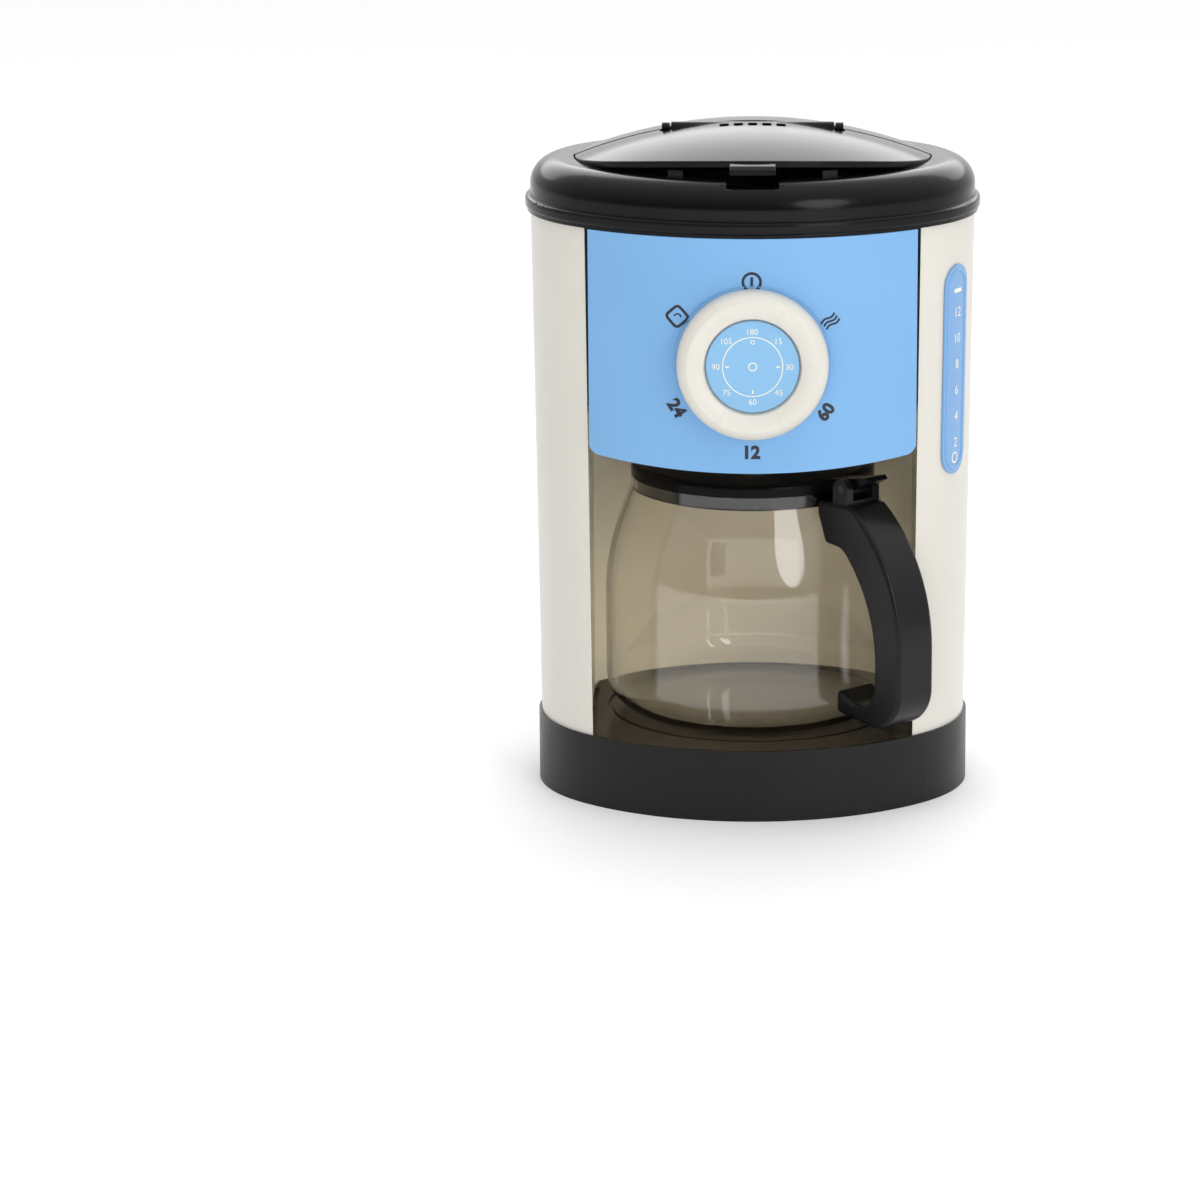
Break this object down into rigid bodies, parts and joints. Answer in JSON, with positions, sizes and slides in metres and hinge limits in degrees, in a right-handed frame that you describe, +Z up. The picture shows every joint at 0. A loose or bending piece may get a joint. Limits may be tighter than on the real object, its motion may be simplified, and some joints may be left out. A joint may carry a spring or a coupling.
{
  "type": "toy coffee maker",
  "caption": "Toy filter coffee maker: oval body with a jug niche, clear jug with hinged lid and handle, turning front knob and hinged half-dome top lid.",
  "frame": {"origin": "middle of the flat underside, on the surface that the toy stands on", "axes": "+Z up, the front with panel and jug faces -Y, +X is the side with the level window"},
  "size_m": [0.1514, 0.131, 0.2249],
  "materials": {
    "base_black": "satin moulded plastic",
    "screw_steel": "zinc plated",
    "plate_dark": "smooth moulded plastic",
    "body_cream": "smooth satin moulded plastic",
    "liner_beige": "satin moulded plastic",
    "panel_blue": "satin, metallic pale blue",
    "window_blue": "smooth tinted plastic",
    "tank_grey": "moulded plastic",
    "basket_black": "moulded plastic",
    "lid_black": "gloss moulded plastic",
    "pin_black": "moulded plastic",
    "dial_blue": "printed disc",
    "acetal_white": "moulded plastic",
    "jug_smoke": "clear smoke-brown plastic",
    "handle_black": "satin moulded plastic"
  },
  "bodies": {
    "main": {"base_plinth": "base_black", "base_cover": "base_black", "cover_screws": "screw_steel", "body_screws": "screw_steel", "hot_plate": "plate_dark", "housing": "body_cream", "niche_liner": "liner_beige", "head_floor": "liner_beige", "front_panel": "panel_blue", "panel_screws": "screw_steel", "level_window": "window_blue", "water_tank": "tank_grey", "tank_tray": "tank_grey", "filter_basket": "basket_black", "collar": "lid_black", "lid_pin": "pin_black", "click_spring": "acetal_white"},
    "lid": {"lid": "lid_black"},
    "knob": {"knob_ring": "body_cream", "dial_disc": "dial_blue", "click_wheel": "acetal_white", "knob_screw": "screw_steel"},
    "jug": {"jug_body": "jug_smoke", "jug_handle": "handle_black", "jug_lid_pin": "pin_black"},
    "jug_lid": {"jug_lid": "lid_black"}
  },
  "joints": [
    {"name": "lid_hinge", "type": "hinge", "parent": "main", "child": "lid", "pos_m": [0, 0, 0.2224], "axis": [-1, 0, 0], "range_deg": [0, 95]},
    {"name": "knob_turn", "type": "hinge", "parent": "main", "child": "knob", "pos_m": [0, -0.06109, 0.1552], "axis": [0, -1, 0], "continuous": true},
    {"name": "jug_slide", "type": "slide", "parent": "main", "child": "jug", "axis": [0, -1, 0], "range_m": [0, 0.15]},
    {"name": "jug_lid_hinge", "type": "hinge", "parent": "jug", "child": "jug_lid", "pos_m": [0.03413, -0.0349, 0.10835], "axis": [0.7431, 0.6691, 0], "range_deg": [0, 10]}
  ]
}
